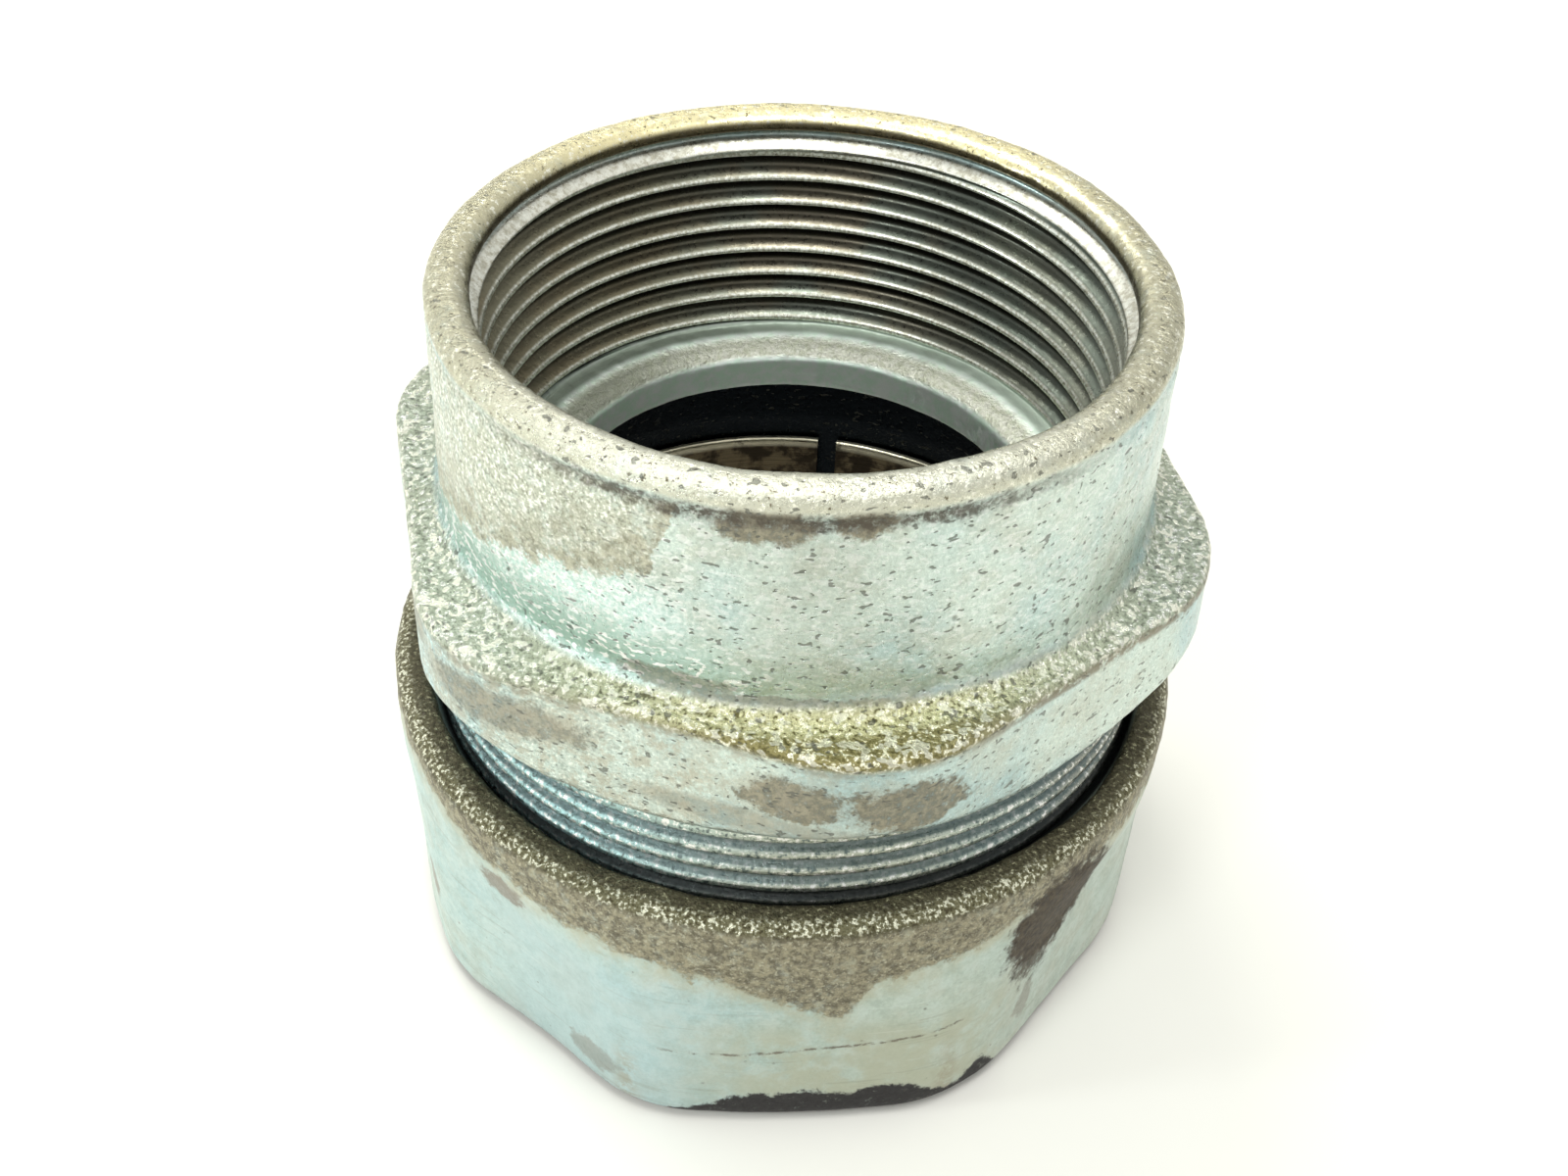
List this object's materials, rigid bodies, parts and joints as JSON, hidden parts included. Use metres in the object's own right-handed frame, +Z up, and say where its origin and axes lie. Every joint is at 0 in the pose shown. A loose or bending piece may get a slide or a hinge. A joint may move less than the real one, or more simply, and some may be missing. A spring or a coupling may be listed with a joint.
{
  "type": "pipe union",
  "caption": "Compression pipe union: a female-threaded hub and hexagon flange in one body, an octagonal gland nut on its lower spigot, and a split compression ring inside.",
  "frame": {"origin": "on the bore's axis, at the flat bottom face of the compression nut", "axes": "+Z up along the bore from the nut to the threaded hub's rim; +X lies 4 degrees past a corner of the hexagon flange; the picture was taken from about -77 degrees round +Z"},
  "size_m": [0.0932, 0.0932, 0.085],
  "materials": {
    "zinc_body": "zinc-plated sand casting, satin, stained in patches",
    "zinc_nut": "zinc-plated sand casting, satin, stained in patches",
    "zinc_ring": "zinc-plated steel, dulled"
  },
  "bodies": {
    "nut": {"compression_nut": "zinc_nut"},
    "ring": {"compression_ring": "zinc_ring"},
    "body": {"union_body": "zinc_body"}
  },
  "joints": [
    {"name": "gland_turn", "type": "hinge", "parent": "nut", "child": "ring", "pos_m": [0, 0, 0.02], "axis": [0, 0, 1], "range_deg": [-270, 1310]},
    {"name": "thread_travel", "type": "slide", "parent": "ring", "child": "body", "axis": [0, 0, 1], "range_m": [-0.00195, 0.00933]}
  ],
  "couplings": [
    {"joint": "thread_travel", "follows": "gland_turn", "m_per_rad": 0.00040425}
  ]
}
